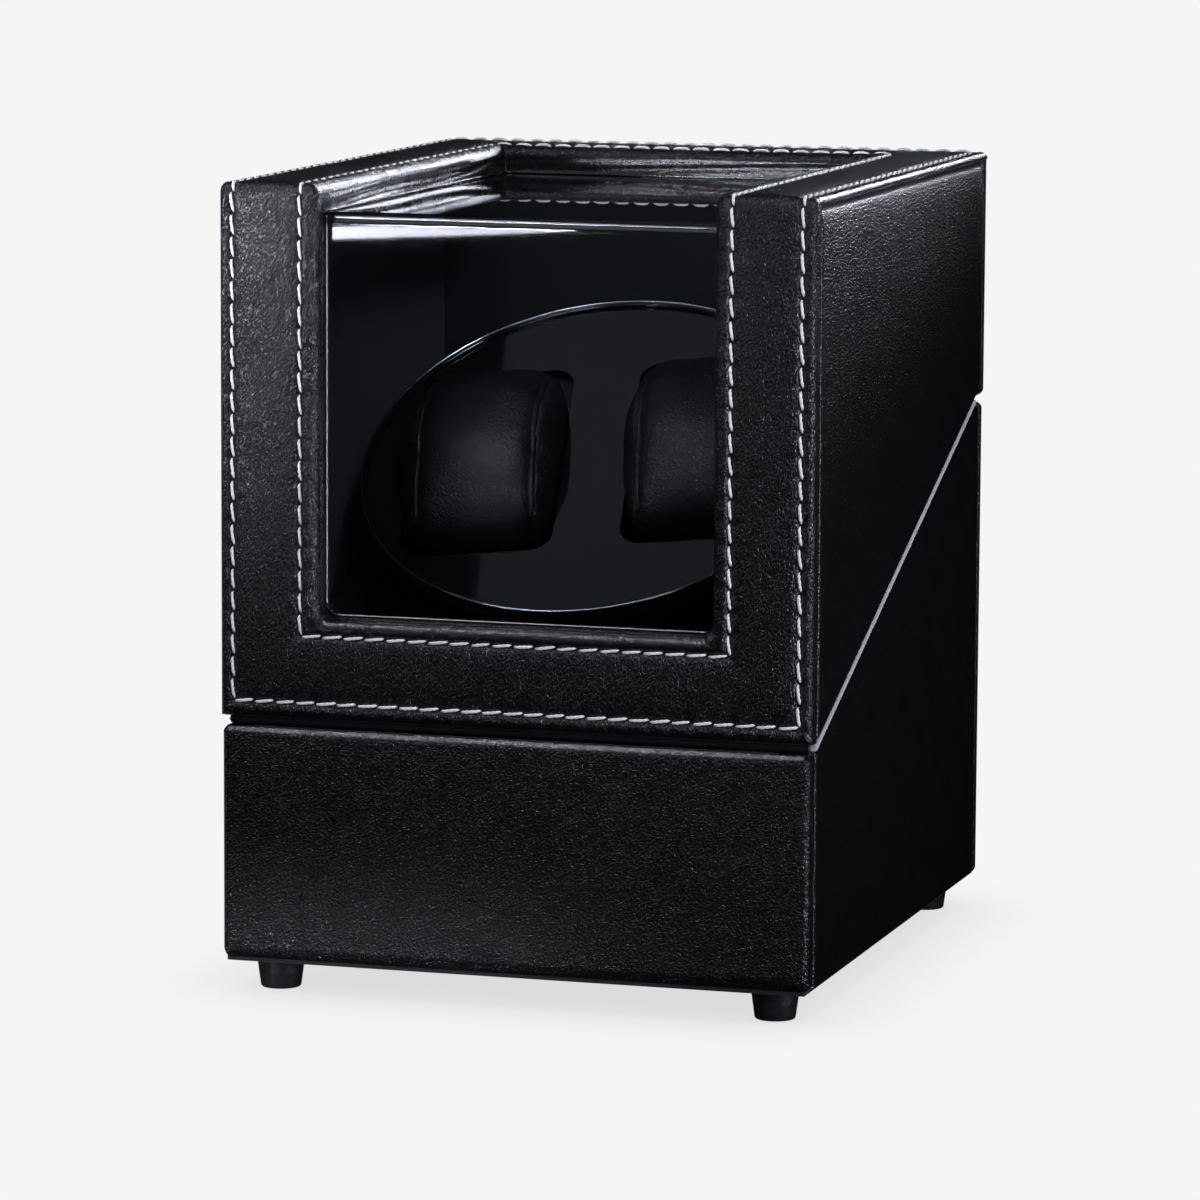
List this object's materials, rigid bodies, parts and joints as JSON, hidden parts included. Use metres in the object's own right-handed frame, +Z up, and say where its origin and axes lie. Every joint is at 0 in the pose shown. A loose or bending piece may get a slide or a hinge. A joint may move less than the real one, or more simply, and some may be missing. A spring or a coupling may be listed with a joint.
{
  "type": "watch winder box",
  "caption": "Leather-covered watch winder box with a hinged windowed lid over a tilted, motor-driven turntable that carries removable watch pillows.",
  "frame": {"origin": "centre of the bounding box's footprint, on the plane of the feet", "axes": "+Z up, +X to the right seen from the front, +Y from the windowed front towards the hinged back"},
  "size_m": [0.15, 0.1808, 0.2],
  "materials": {
    "cover_leather": "fine pebbled grain, satin",
    "board": "raw fibreboard",
    "window": "clear polished acrylic",
    "edging": "satin",
    "thread": "matt sewing thread",
    "foot": "satin",
    "screw": "plated",
    "hinge": "nickel plated",
    "lining": "short velvet",
    "disc": "gloss black",
    "cup": "matt black",
    "pillow": "soft satin leatherette",
    "housing": "matt black",
    "gear": "natural acetal",
    "bush": "sintered bronze",
    "motor": "plated",
    "circuit": "solder mask",
    "control": "fine texture",
    "magnet": "nickel plated",
    "lead": "matt"
  },
  "bodies": {
    "base": {"base_back_board": "board", "base_back_leather": "cover_leather", "base_bottom_board": "board", "base_front_board": "board", "base_front_leather": "cover_leather", "base_front_lip": "lining", "base_left_board": "board", "base_left_leather": "cover_leather", "base_magnets": "magnet", "base_right_board": "board", "base_right_leather": "cover_leather", "control_board": "circuit", "control_tray": "control", "dc_inlet": "control", "deck_cleats": "board", "deck_panel": "lining", "drive_collar": "housing", "drive_housing": "housing", "feet": "foot", "foot_screws": "screw", "hinge_base_leaves": "hinge", "hinge_pins": "hinge", "hinge_screws_base": "screw", "housing_cover": "housing", "mode_switch": "control", "motor_can": "motor", "motor_gearhead": "motor", "motor_lead": "lead", "motor_plate": "motor", "rocker_frame": "control", "seam_edging": "edging", "shaft_bushes": "bush", "tray_screws": "screw"},
    "lid": {"hinge_lid_leaves": "hinge", "hinge_screws_lid": "screw", "lid_back_board": "board", "lid_back_liner": "lining", "lid_front_frame": "board", "lid_left_board": "board", "lid_left_leather": "cover_leather", "lid_magnets": "magnet", "lid_right_board": "board", "lid_right_leather": "cover_leather", "lid_top_frame": "board", "lid_wrap_leather": "cover_leather", "stitch_line_inner": "thread", "stitch_line_outer": "thread", "window_pane": "window", "window_reveal_leather": "cover_leather"},
    "turntable": {"turntable_disc": "disc", "pillow_cups": "cup", "turntable_hub": "cup", "turntable_shaft": "motor", "turntable_gear": "gear"},
    "pinion": {"drive_pinion": "gear"},
    "pillow_left": {"pillow_left": "pillow"},
    "pillow_right": {"pillow_right": "pillow"},
    "mode_knob": {"mode_knob": "control"},
    "power_rocker": {"power_rocker": "control"}
  },
  "joints": [
    {"name": "lid_hinge", "type": "hinge", "parent": "base", "child": "lid", "pos_m": [0, 0.088, 0.13521], "axis": [-1, 0, 0], "range_deg": [0, 95]},
    {"name": "turntable_spin", "type": "hinge", "parent": "base", "child": "turntable", "pos_m": [0, -0.02, 0.1286], "axis": [0, -0.5635, 0.8261], "continuous": true},
    {"name": "pinion_spin", "type": "hinge", "parent": "base", "child": "pinion", "pos_m": [0, 0.01337, 0.11384], "axis": [0, -0.5635, 0.8261], "continuous": true},
    {"name": "pillow_left_lift", "type": "slide", "parent": "turntable", "child": "pillow_left", "axis": [0, -0.5635, 0.8261], "range_m": [0, 0.022]},
    {"name": "pillow_right_lift", "type": "slide", "parent": "turntable", "child": "pillow_right", "axis": [0, -0.5635, 0.8261], "range_m": [0, 0.022]},
    {"name": "mode_knob_turn", "type": "hinge", "parent": "base", "child": "mode_knob", "pos_m": [0, 0.0796, 0.055], "axis": [0, -1, 0], "range_deg": [0, 150]},
    {"name": "power_rocker_tilt", "type": "hinge", "parent": "base", "child": "power_rocker", "pos_m": [-0.019, 0.0748, 0.055], "axis": [1, 0, 0], "range_deg": [0, 16]}
  ],
  "couplings": [
    {"joint": "pinion_spin", "follows": "turntable_spin", "ratio": -3}
  ]
}
